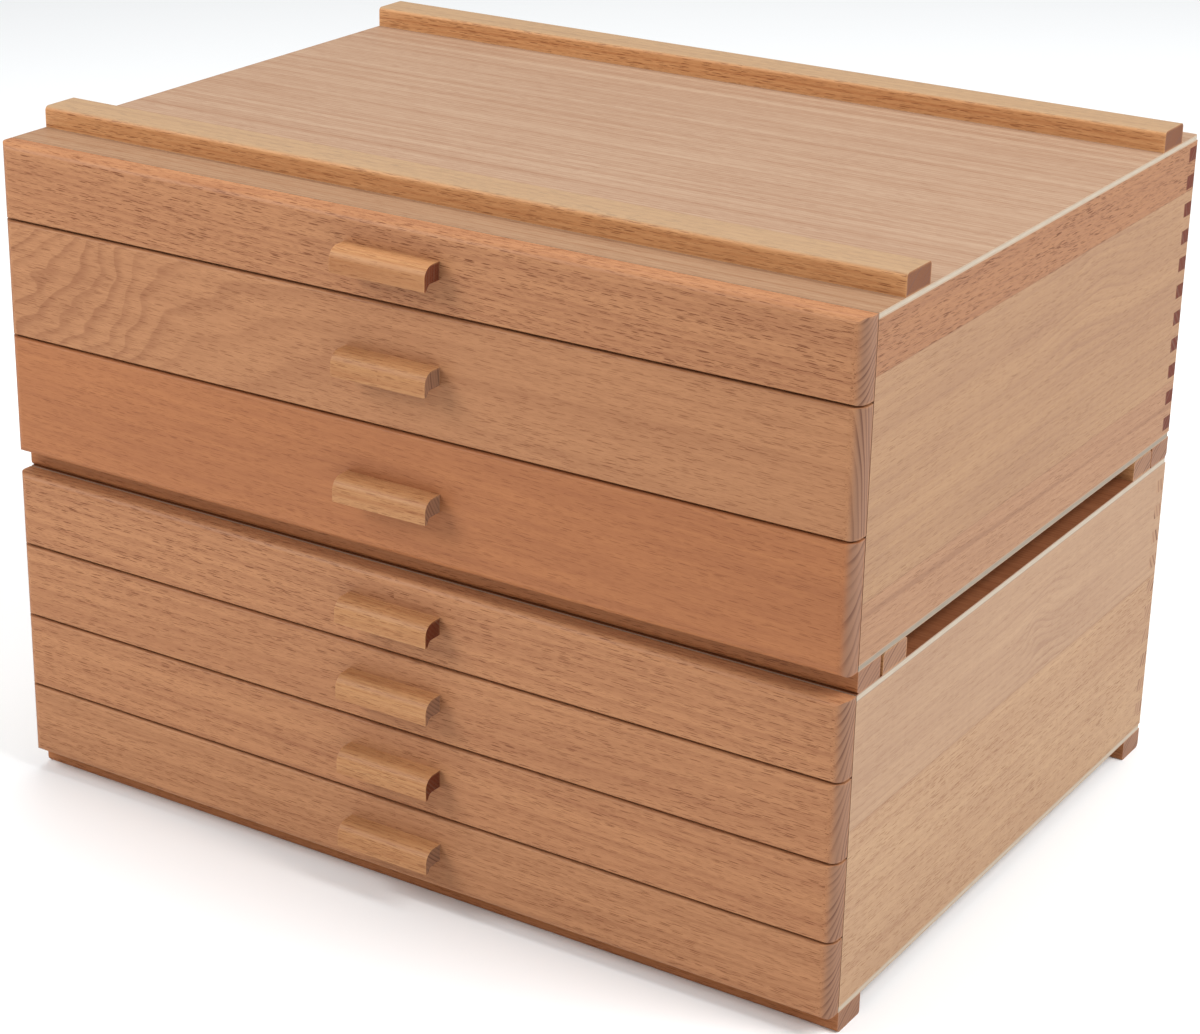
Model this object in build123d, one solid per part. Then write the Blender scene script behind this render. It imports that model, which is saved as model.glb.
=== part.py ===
from build123d import *
import os
from dataclasses import dataclass

# Two beech drawer chests for pencils, one standing on the other. Millimetres, +Z up, drawer
# fronts towards -Y. The origin is on the floor, under the middle of the overall footprint.
#
# Each chest is a finger-jointed case, veneered plywood above and below it, with two feet
# under it and two rails on top. The upper chest's feet straddle the lower chest's rails, so
# the stack can't slide to and fro. Drawer boxes hang on runners in grooved sides.

# ---- Case -------------------------------------------------------------------------------
WIDTH = 400.0  # over the side panels; fronts, rails, feet and plywood are as long
CASE_DEPTH = 293.9  # side panel, front edge to rear edge
SIDE_THICKNESS = 8.0
BACK_THICKNESS = 8.0
FINGER_WIDTH = 6.05  # one finger of the rear corner joint, and one slot
FINGER_MARGIN = 0.6  # least wood left above and below the first and last finger
BOTTOM_PLY = 2.5
TOP_PLY_LOWER = 3.0
TOP_PLY_UPPER = 2.4
PLY_CORNER_RADIUS = 1.6  # rear corners of the plywood, seen from above

# ---- Feet and rails ---------------------------------------------------------------------
FOOT_HEIGHT = 9.2
FOOT_WIDTH = 18.0
FOOT_OUTER_RADIUS = 2.2
FOOT_INNER_RADIUS = 1.2
RAIL_WIDTH = 19.2
RAIL_HEADROOM = 0.2  # left above a rail once the other chest stands on the top panel
RAIL_OUTER_RADIUS = 2.0
RAIL_INNER_RADIUS = 1.8
STACK_PLAY_FRONT = 2.2  # between a front foot and the front rail behind it
STACK_PLAY_REAR = 0.6  # between the rear rail and the rear foot behind it

# ---- Drawer fronts ----------------------------------------------------------------------
LOWER_FRONTS = (32.5, 32.5, 32.5, 32.5)  # heights, lowest first
UPPER_FRONTS = (52.2, 49.8, 32.0)
FRONT_THICKNESS = 9.0
FRONT_GAP = 1.0  # between one front and the next
FRONT_LIFT = 0.3  # lowest front, above the underside of the bottom panel
FRONT_DROP_LOWER = 0.2  # highest front, below the upper face of the top panel
FRONT_DROP_UPPER = 0.0
FRONT_STANDOFF = 0.5  # closed fronts, ahead of the case
FRONT_END_RADIUS = 5.6  # ends, seen from above
FRONT_END_QUIRK = 0.02  # end round-overs start this far ahead of the face, for a crisp line
FRONT_OUTER_RADIUS = 3.4  # top edge of the highest front, bottom edge of the lowest
FRONT_INNER_RADIUS = 1.2  # edges that face another front

# ---- Finger pull ------------------------------------------------------------------------
PULL_LENGTH = 44.5
PULL_DEPTH = 10.0
PULL_HEIGHT = 9.8
PULL_NOSE_RADIUS = 5.4
PULL_LIP = 1.7  # thickness of the lip left in front of the cove
PULL_COVE_HEIGHT = 2.5
PULL_COVE_RADIUS = 2.4

# ---- Drawer box -------------------------------------------------------------------------
WALL = 7.0  # drawer sides
DRAWER_BACK = 6.0
DRAWER_PLY = 2.5
HOUSING_DEPTH = 3.0  # of the joints that take the sides and the bottom panel
BOTTOM_RISE = 3.0  # bottom panel, above the lower edge of the drawer sides
DRAWER_HEADROOM = 1.2  # drawer box to the plywood under it or over it
DRAWER_SIDE_PLAY = 0.8
DRAWER_STOP_GAP = 0.4  # closed drawer box to the back of the case

# ---- Runners ----------------------------------------------------------------------------
RUNNER_HEIGHT = 6.0
RUNNER_PROUD = 4.0  # out from the side panel
RUNNER_SETBACK = 6.0  # behind the front edge of the side panel
RUNNER_PLAY = 0.3  # above and below the runner in its groove
RUNNER_TIP_PLAY = 0.4

OVERCUT = 1.0  # how far a cutter runs past the wood it cuts

# ---- Derived positions ------------------------------------------------------------------
TOTAL_DEPTH = PULL_DEPTH + FRONT_THICKNESS + FRONT_STANDOFF + CASE_DEPTH
REAR = TOTAL_DEPTH / 2  # rear face of the case
CASE_FRONT = REAR - CASE_DEPTH  # front edges of the side panels
FRONT_BACK = CASE_FRONT - FRONT_STANDOFF  # rear face of the closed fronts
FRONT_FACE = FRONT_BACK - FRONT_THICKNESS
BACK_FACE = REAR - BACK_THICKNESS  # inner face of the case back
HALF = WIDTH / 2
INNER = HALF - SIDE_THICKNESS  # inner face of a side panel
RAIL_HEIGHT = FOOT_HEIGHT - RAIL_HEADROOM
BOX_HALF = INNER - DRAWER_SIDE_PLAY  # outer face of a drawer side
GROOVE_DEPTH = RUNNER_PROUD - DRAWER_SIDE_PLAY + RUNNER_TIP_PLAY
GROOVE_HALF = RUNNER_HEIGHT / 2 + RUNNER_PLAY


@dataclass(frozen=True)
class Chest:
    """One chest of the stack, set out upwards from the level its feet stand on."""

    name: str
    base: float
    fronts: tuple
    top_ply: float
    front_drop: float

    @property
    def underside(self):
        """Lower face of the bottom panel."""
        return self.base + FOOT_HEIGHT

    @property
    def top(self):
        """Upper face of the top panel."""
        gaps = FRONT_GAP * (len(self.fronts) - 1)
        return self.underside + FRONT_LIFT + sum(self.fronts) + gaps + self.front_drop

    @property
    def case_span(self):
        """Lower and upper edges of the side and back panels."""
        return self.underside + BOTTOM_PLY, self.top - self.top_ply

    def front_span(self, index):
        """Lower and upper edges of a drawer front, counted from the lowest."""
        low = self.underside + FRONT_LIFT + sum(self.fronts[:index]) + FRONT_GAP * index
        return low, low + self.fronts[index]

    def wall_span(self, index):
        """Lower and upper edges of the drawer box behind a front."""
        low, high = self.front_span(index)
        return (
            low + BOTTOM_PLY - FRONT_LIFT + DRAWER_HEADROOM,
            high - self.top_ply + self.front_drop - DRAWER_HEADROOM,
        )

    def runner_level(self, index):
        """Mid height of the runner that carries a drawer."""
        low, high = self.wall_span(index)
        floor = low + BOTTOM_RISE + DRAWER_PLY
        return max((low + high) / 2, floor + GROOVE_HALF)


def block(x0, x1, y0, y1, z0, z1):
    """A box between two corners."""
    corner = (Align.MIN, Align.MIN, Align.MIN)
    return Pos(x0, y0, z0) * Box(x1 - x0, y1 - y0, z1 - z0, align=corner)


def long_edges(part, y, z):
    """Edges along X that lie at the given y and z."""
    return [
        edge
        for edge in part.edges().filter_by(Axis.X)
        if abs(edge.center().Y - y) < 1e-4 and abs(edge.center().Z - z) < 1e-4
    ]


# ---- The case ---------------------------------------------------------------------------
def finger_spans(low, high):
    """Lower and upper faces of each finger of the back panel, evenly set over the corner."""
    room = high - low - 2 * FINGER_MARGIN
    count = int((room + FINGER_WIDTH) // (2 * FINGER_WIDTH))
    first = (low + high - (2 * count - 1) * FINGER_WIDTH) / 2
    starts = [first + 2 * FINGER_WIDTH * step for step in range(count)]
    return [(start, start + FINGER_WIDTH) for start in starts]


def side_panel(chest, hand):
    """A side panel, slotted at its rear edge for the fingers of the back."""
    low, high = chest.case_span
    x0, x1 = sorted((hand * INNER, hand * HALF))
    panel = block(x0, x1, CASE_FRONT, REAR, low, high)
    for z0, z1 in finger_spans(low, high):
        panel -= block(x0 - OVERCUT, x1 + OVERCUT, BACK_FACE, REAR + OVERCUT, z0, z1)
    return panel


def back_panel(chest):
    """The back, with fingers that pass through both side panels."""
    low, high = chest.case_span
    panel = block(-INNER, INNER, BACK_FACE, REAR, low, high)
    for z0, z1 in finger_spans(low, high):
        panel += block(-HALF, HALF, BACK_FACE, REAR, z0, z1)
    return panel


def plywood(z0, z1):
    """A plywood panel as large as the case, its rear corners eased."""
    panel = block(-HALF, HALF, CASE_FRONT, REAR, z0, z1)
    corners = [edge for edge in panel.edges().filter_by(Axis.Z) if edge.center().Y > 0]
    return fillet(corners, PLY_CORNER_RADIUS)


def rail(chest, front):
    """A stacking rail on the top panel: the upper chest's foot stands just outside it."""
    if front:
        outer = CASE_FRONT + FOOT_WIDTH + STACK_PLAY_FRONT
        inner = outer + RAIL_WIDTH
    else:
        outer = REAR - FOOT_WIDTH - STACK_PLAY_REAR
        inner = outer - RAIL_WIDTH
    top = chest.top + RAIL_HEIGHT
    strip = block(-HALF, HALF, min(outer, inner), max(outer, inner), chest.top, top)
    strip = fillet(long_edges(strip, outer, top), RAIL_OUTER_RADIUS)
    return fillet(long_edges(strip, inner, top), RAIL_INNER_RADIUS)


def foot(chest, front):
    """A foot under the bottom panel, flush with the front or the rear of the case."""
    outer = CASE_FRONT if front else REAR
    inner = outer + FOOT_WIDTH if front else outer - FOOT_WIDTH
    y0, y1 = min(outer, inner), max(outer, inner)
    strip = block(-HALF, HALF, y0, y1, chest.base, chest.underside)
    strip = fillet(long_edges(strip, outer, chest.base), FOOT_OUTER_RADIUS)
    return fillet(long_edges(strip, inner, chest.base), FOOT_INNER_RADIUS)


def runners(chest, hand):
    """The runners on one side panel, one for each drawer."""
    x0, x1 = sorted((hand * (INNER - RUNNER_PROUD), hand * INNER))
    strips = []
    for index in range(len(chest.fronts)):
        level = chest.runner_level(index)
        z0, z1 = level - RUNNER_HEIGHT / 2, level + RUNNER_HEIGHT / 2
        strips.append(block(x0, x1, CASE_FRONT + RUNNER_SETBACK, BACK_FACE, z0, z1))
    return Compound(children=strips)


# ---- A drawer ---------------------------------------------------------------------------
def profile(corners, radii):
    """A closed outline through the corners, each rounded where its radius is not nought."""
    face = make_face(Polyline(*corners, close=True))
    for corner, radius in zip(corners, radii):
        if radius:
            near = face.vertices().sort_by_distance(Vector(*corner))[0]
            face = fillet(near, radius)
    return face


def drawer_front(chest, index):
    """A front moulded along its long edges and rounded over at both ends.

    It is housed at the rear for the drawer sides and grooved for the bottom panel.
    """
    low, high = chest.front_span(index)
    wall_low, wall_high = chest.wall_span(index)
    highest = index == len(chest.fronts) - 1
    top_radius = FRONT_OUTER_RADIUS if highest else FRONT_INNER_RADIUS
    bottom_radius = FRONT_OUTER_RADIUS if index == 0 else FRONT_INNER_RADIUS
    section = profile(
        ((FRONT_FACE, low), (FRONT_BACK, low), (FRONT_BACK, high), (FRONT_FACE, high)),
        (bottom_radius, 0, 0, top_radius),
    )
    nose = FRONT_FACE - FRONT_END_QUIRK
    past = FRONT_BACK + OVERCUT
    plan = profile(
        ((-HALF, nose), (HALF, nose), (HALF, past), (-HALF, past)),
        (FRONT_END_RADIUS, FRONT_END_RADIUS, 0, 0),
    )
    moulding_start = Plane(origin=(-HALF - OVERCUT, 0, 0), x_dir=(0, 1, 0), z_dir=(1, 0, 0))
    moulding = extrude(moulding_start * section, WIDTH + 2 * OVERCUT)
    panel = moulding & extrude(Pos(0, 0, low - OVERCUT) * plan, high - low + 2 * OVERCUT)
    depth = FRONT_BACK - HOUSING_DEPTH
    for hand in (-1, 1):
        x0, x1 = sorted((hand * (BOX_HALF - WALL), hand * BOX_HALF))
        panel -= block(x0, x1, depth, past, wall_low, wall_high)
    floor = wall_low + BOTTOM_RISE
    span = BOX_HALF - WALL
    return panel - block(-span, span, depth, past, floor, floor + DRAWER_PLY)


def pull(chest, index):
    """A finger pull: rounded nose, a thin lip in front and a cove for the fingertips."""
    low, high = chest.front_span(index)
    bottom = (low + high) / 2 - PULL_HEIGHT / 2
    top = bottom + PULL_HEIGHT
    nose = FRONT_FACE - PULL_DEPTH
    cove = bottom + PULL_COVE_HEIGHT
    bend = min(PULL_COVE_RADIUS, PULL_COVE_HEIGHT - 0.05)
    lip = nose + PULL_LIP
    outline = Polyline(
        (lip + bend, cove), (FRONT_FACE, cove), (FRONT_FACE, top), (nose + PULL_NOSE_RADIUS, top)
    )
    outline += RadiusArc(
        (nose + PULL_NOSE_RADIUS, top), (nose, top - PULL_NOSE_RADIUS), -PULL_NOSE_RADIUS
    )
    outline += Polyline((nose, top - PULL_NOSE_RADIUS), (nose, bottom), (lip, bottom), (lip, cove - bend))
    outline += RadiusArc((lip, cove - bend), (lip + bend, cove), bend)
    # The profile's own x and y are the part's y and z.
    plane = Plane(origin=(-PULL_LENGTH / 2, 0, 0), x_dir=(0, 1, 0), z_dir=(1, 0, 0))
    return extrude(plane * make_face(outline), PULL_LENGTH)


def drawer_sides(chest, index):
    """Both sides: grooved outside for the runner and inside for the bottom panel."""
    low, high = chest.wall_span(index)
    level = chest.runner_level(index)
    floor = low + BOTTOM_RISE
    start, end = FRONT_BACK - HOUSING_DEPTH, BACK_FACE - DRAWER_STOP_GAP
    sides = []
    for hand in (-1, 1):
        x0, x1 = sorted((hand * (BOX_HALF - WALL), hand * BOX_HALF))
        side = block(x0, x1, start, end, low, high)
        g0, g1 = sorted((hand * (BOX_HALF - GROOVE_DEPTH), hand * (BOX_HALF + OVERCUT)))
        side -= block(g0, g1, FRONT_BACK, end + OVERCUT, level - GROOVE_HALF, level + GROOVE_HALF)
        p0, p1 = sorted((hand * (BOX_HALF - WALL - OVERCUT), hand * (BOX_HALF - WALL + HOUSING_DEPTH)))
        side -= block(p0, p1, start - OVERCUT, end + OVERCUT, floor, floor + DRAWER_PLY)
        sides.append(side)
    return Compound(children=sides)


def drawer_back(chest, index):
    """The back of the drawer box, between its sides and on its bottom panel."""
    low, high = chest.wall_span(index)
    end = BACK_FACE - DRAWER_STOP_GAP
    span = BOX_HALF - WALL
    return block(-span, span, end - DRAWER_BACK, end, low + BOTTOM_RISE + DRAWER_PLY, high)


def drawer_bottom(chest, index):
    """The plywood bottom, let into the sides and the front."""
    low, _ = chest.wall_span(index)
    floor = low + BOTTOM_RISE
    end = BACK_FACE - DRAWER_STOP_GAP
    inner, reach = BOX_HALF - WALL, BOX_HALF - WALL + HOUSING_DEPTH
    panel = block(-reach, reach, FRONT_BACK, end, floor, floor + DRAWER_PLY)
    tongue = FRONT_BACK - HOUSING_DEPTH
    return panel + block(-inner, inner, tongue, FRONT_BACK, floor, floor + DRAWER_PLY)


# ---- The stack --------------------------------------------------------------------------
def chest_nodes(chest, first_drawer):
    """Every piece of one chest by name; drawers are numbered downwards."""
    low, high = chest.case_span
    nodes = {
        "side_left": side_panel(chest, -1),
        "side_right": side_panel(chest, 1),
        "back": back_panel(chest),
        "bottom_panel": plywood(chest.underside, low),
        "top_panel": plywood(high, chest.top),
        "rail_front": rail(chest, True),
        "rail_rear": rail(chest, False),
        "foot_front": foot(chest, True),
        "foot_rear": foot(chest, False),
        "runners_left": runners(chest, -1),
        "runners_right": runners(chest, 1),
    }
    nodes = {f"{chest.name}_{piece}": part for piece, part in nodes.items()}
    for index in range(len(chest.fronts)):
        drawer = f"drawer_{first_drawer + len(chest.fronts) - 1 - index}"
        nodes[f"{drawer}_front"] = drawer_front(chest, index)
        nodes[f"{drawer}_pull"] = pull(chest, index)
        nodes[f"{drawer}_sides"] = drawer_sides(chest, index)
        nodes[f"{drawer}_back"] = drawer_back(chest, index)
        nodes[f"{drawer}_bottom"] = drawer_bottom(chest, index)
    return nodes


LOWER = Chest("lower", 0.0, LOWER_FRONTS, TOP_PLY_LOWER, FRONT_DROP_LOWER)
UPPER = Chest("upper", LOWER.top, UPPER_FRONTS, TOP_PLY_UPPER, FRONT_DROP_UPPER)

os.makedirs("parts", exist_ok=True)
for node, part in {**chest_nodes(UPPER, 1), **chest_nodes(LOWER, 1 + len(UPPER.fronts))}.items():
    export_step(part, f"parts/{node}.step")
print(f"overall {WIDTH:.1f} x {TOTAL_DEPTH:.1f} x {UPPER.top + RAIL_HEIGHT:.1f} mm")
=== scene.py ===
"""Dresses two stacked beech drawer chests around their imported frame.

Every board keeps its own cut, tone and growth rings, the plywood shows its pale core at the
edges, and the studio is a pale floor under soft light, seen from the front right.
"""

import logging
import math
from dataclasses import dataclass, replace
from enum import Enum

import bpy
from mathutils import Matrix, Vector

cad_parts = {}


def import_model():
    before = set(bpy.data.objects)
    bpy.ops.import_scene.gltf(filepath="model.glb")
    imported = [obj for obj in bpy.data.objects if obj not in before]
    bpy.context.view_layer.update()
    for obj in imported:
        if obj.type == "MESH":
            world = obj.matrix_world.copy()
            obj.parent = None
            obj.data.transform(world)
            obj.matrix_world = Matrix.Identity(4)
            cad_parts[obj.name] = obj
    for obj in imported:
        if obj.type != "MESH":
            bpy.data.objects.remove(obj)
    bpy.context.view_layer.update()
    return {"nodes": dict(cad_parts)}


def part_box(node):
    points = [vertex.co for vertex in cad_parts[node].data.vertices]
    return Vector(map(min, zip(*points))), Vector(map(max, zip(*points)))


log = logging.getLogger("drawer_chests")

MM = 0.001
Colour = tuple[float, float, float]
Box = tuple[Vector, Vector]
Socket = bpy.types.NodeSocket
Value = Socket | float | tuple


class Grain(Enum):
    """The direction in which the fibres of a piece run."""

    ACROSS = "from left to right"
    DEPTH = "from front to back"


class Side(Enum):
    """A side of a chest, as seen from the front."""

    LEFT = "left"
    RIGHT = "right"


@dataclass(frozen=True)
class Tone:
    """The colours of one beech board, as linear light.

    Attributes:
        light: early wood, the ground of the board.
        dark: late wood and darker bands.
        fleck: the short dashes along the grain.
        end: end grain, which drinks more lacquer.
        end_line: growth rings on the end grain.
    """

    light: Colour = (0.430, 0.235, 0.122)
    dark: Colour = (0.330, 0.160, 0.080)
    fleck: Colour = (0.150, 0.056, 0.030)
    end: Colour = (0.255, 0.138, 0.088)
    end_line: Colour = (0.140, 0.064, 0.042)


@dataclass(frozen=True)
class Cut:
    """How one board was sawn from the tree. Lengths are in millimetres.

    Attributes:
        pith: place of the tree's centre across the grain, from the frame's origin.
        ring: width of a growth ring.
        ring_depth: how dark the late wood stands out.
        wander: how far the rings stray from true circles.
        band: how much tone changes from one group of rings to the next.
        cloud: how much tone drifts along the board.
        fleck: strength of the dashes.
        fleck_length: distance from one dash to the next along the grain.
        fleck_width: distance from one dash to the next across the grain.
        figure: how many rings are thrown up round the figure's centre.
        figure_at: centre of a figure such as a burr or a crook, in board axes.
        figure_size: how far the figure reaches along each board axis.
        ripple: strength of the faint bars across the grain.
        stripe: height, half width and strength of a dark streak along the grain.
        slope: fall of the grain for each unit along the board.
        seed: sets one board apart from the next.
    """

    pith: tuple[float, float] = (90.0, 0.0)
    ring: float = 2.4
    ring_depth: float = 0.35
    wander: float = 2.5
    band: float = 0.5
    cloud: float = 0.35
    fleck: float = 0.6
    fleck_length: float = 7.0
    fleck_width: float = 0.44
    figure: float = 0.0
    figure_at: tuple[float, float, float] = (0.0, 0.0, 0.0)
    figure_size: tuple[float, float, float] = (30.0, 30.0, 30.0)
    ripple: float = 0.0
    stripe: tuple[float, float, float] = (0.0, 1.0, 0.0)
    slope: float = 0.0
    seed: float = 0.0


@dataclass(frozen=True)
class Board:
    """One board: its tone and its cut."""

    tone: Tone = Tone()
    cut: Cut = Cut()


Boards = tuple[tuple[float, Board], ...]


def reseed(board: Board, step: float, **changes: object) -> Board:
    """Cuts a board anew.

    Args:
        board: the board.
        step: what is added to its seed.
        changes: other changes to its cut.

    Returns:
        The new board.
    """
    return replace(board, cut=replace(board.cut, seed=board.cut.seed + step, **changes))


class Graph:
    """A short way to set down shader nodes and join them."""

    def __init__(self, tree: bpy.types.NodeTree) -> None:
        """Keeps the node tree.

        Args:
            tree: the tree that gets the nodes.
        """
        self.tree = tree

    def add(self, kind: str, settings: dict | None = None,
            inputs: dict | None = None) -> bpy.types.Node:
        """Adds one node.

        Args:
            kind: the node's type, such as ShaderNodeMath.
            settings: properties of the node.
            inputs: values or sockets for its inputs, by name or number.

        Returns:
            The new node.
        """
        node = self.tree.nodes.new(kind)
        for name, value in (settings or {}).items():
            setattr(node, name, value)
        for key, value in (inputs or {}).items():
            self.feed(node.inputs[key], value)
        return node

    def feed(self, socket: Socket, value: Value) -> None:
        """Gives a socket a link or a fixed value.

        Args:
            socket: the input.
            value: another socket, a number or a tuple.
        """
        if isinstance(value, bpy.types.NodeSocket):
            self.tree.links.new(value, socket)
        elif socket.type == "RGBA" and len(value) == 3:
            socket.default_value = (*value, 1.0)
        else:
            socket.default_value = value

    def math(self, operation: str, *values: Value, clamp: bool = False) -> Socket:
        """Returns the result of a Math node on the values."""
        settings = {"operation": operation, "use_clamp": clamp}
        return self.add("ShaderNodeMath", settings, dict(enumerate(values))).outputs[0]

    def vector(self, operation: str, *values: Value) -> Socket:
        """Works out one step of vector arithmetic.

        Args:
            operation: the name of the operation, such as ADD.
            values: the vectors that go in.

        Returns:
            A number for LENGTH, else a vector.
        """
        settings = {"operation": operation}
        node = self.add("ShaderNodeVectorMath", settings, dict(enumerate(values)))
        return node.outputs["Value" if operation == "LENGTH" else "Vector"]

    def stretch(self, point: Value, scale: Value) -> Socket:
        """Returns the point scaled along each axis by its own number."""
        return self.vector("MULTIPLY", point, scale)

    def scaled(self, vector: Value, factor: Value) -> Socket:
        """Returns the vector scaled by one number."""
        inputs = {0: vector, "Scale": factor}
        return self.add("ShaderNodeVectorMath", {"operation": "SCALE"}, inputs).outputs["Vector"]

    def split(self, vector: Value) -> list[Socket]:
        """Returns the three parts of a vector."""
        return list(self.add("ShaderNodeSeparateXYZ", inputs={0: vector}).outputs)

    def join(self, x: Value, y: Value, z: Value) -> Socket:
        """Returns a vector of three parts."""
        return self.add("ShaderNodeCombineXYZ", inputs={0: x, 1: y, 2: z}).outputs[0]

    def gap(self, value: Value, other: Value) -> Socket:
        """Returns how far two numbers lie apart."""
        return self.math("ABSOLUTE", self.math("SUBTRACT", value, other))

    def centred(self, value: Value) -> Socket:
        """Returns a number of nought to one, moved to lie about nought."""
        return self.math("SUBTRACT", value, 0.5)

    def ramp(self, value: Value, low: Value, high: Value, to_low: Value = 0.0,
             to_high: Value = 1.0) -> Socket:
        """Maps a value smoothly from one range to another.

        Args:
            value: the value to map.
            low: where the range begins.
            high: where it ends.
            to_low: the result at and before low.
            to_high: the result at and beyond high.

        Returns:
            The mapped value.
        """
        inputs = {"Value": value, "From Min": low, "From Max": high, "To Min": to_low,
                  "To Max": to_high}
        settings = {"interpolation_type": "SMOOTHSTEP"}
        return self.add("ShaderNodeMapRange", settings, inputs).outputs[0]

    def blend(self, factor: Value, first: Value, second: Value, kind: str = "RGBA",
              mode: str = "MIX") -> Socket:
        """Mixes two colours or numbers.

        Args:
            factor: nought gives the first, one the second.
            first: first value.
            second: second value.
            kind: RGBA for colours, FLOAT for numbers.
            mode: how colours are mixed.

        Returns:
            The mixed value.
        """
        node = self.add("ShaderNodeMix", {"data_type": kind, "blend_type": mode})
        wanted = {"RGBA": "RGBA", "FLOAT": "VALUE"}[kind]
        ends = [socket for socket in node.inputs
                if socket.type == wanted and socket.name in ("A", "B")]
        for socket, value in zip((node.inputs[0], *ends), (factor, first, second)):
            self.feed(socket, value)
        return next(socket for socket in node.outputs if socket.type == wanted)

    def noise(self, point: Value, detail: float = 2.0, rough: float = 0.5,
              axes: str = "3D") -> Socket:
        """Lays smooth noise, one feature to a unit of the point.

        Args:
            point: the place, or a single number when axes is 1D.
            detail: how many finer layers there are.
            rough: how strong the finer layers are.
            axes: 3D or 1D.

        Returns:
            The noise, about nought to one.
        """
        name = "W" if axes == "1D" else "Vector"
        inputs = {name: point, "Scale": 1.0, "Detail": detail, "Roughness": rough}
        return self.add("ShaderNodeTexNoise", {"noise_dimensions": axes}, inputs).outputs[0]

    def drift(self, point: Value) -> Socket:
        """Lays a vector of smooth noise, one feature to a unit of the point.

        Args:
            point: the place.

        Returns:
            The noise in three parts, each about nought.
        """
        inputs = {"Vector": point, "Scale": 1.0, "Detail": 2.0}
        noise = self.add("ShaderNodeTexNoise", inputs=inputs).outputs["Color"]
        return self.vector("SUBTRACT", noise, (0.5, 0.5, 0.5))

    def cells(self, point: Value) -> tuple[Socket, Socket]:
        """Returns the distance to the nearest scattered point, and that point's chance colour."""
        node = self.add("ShaderNodeTexVoronoi", inputs={"Vector": point, "Scale": 1.0})
        return node.outputs["Distance"], node.outputs["Color"]


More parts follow.
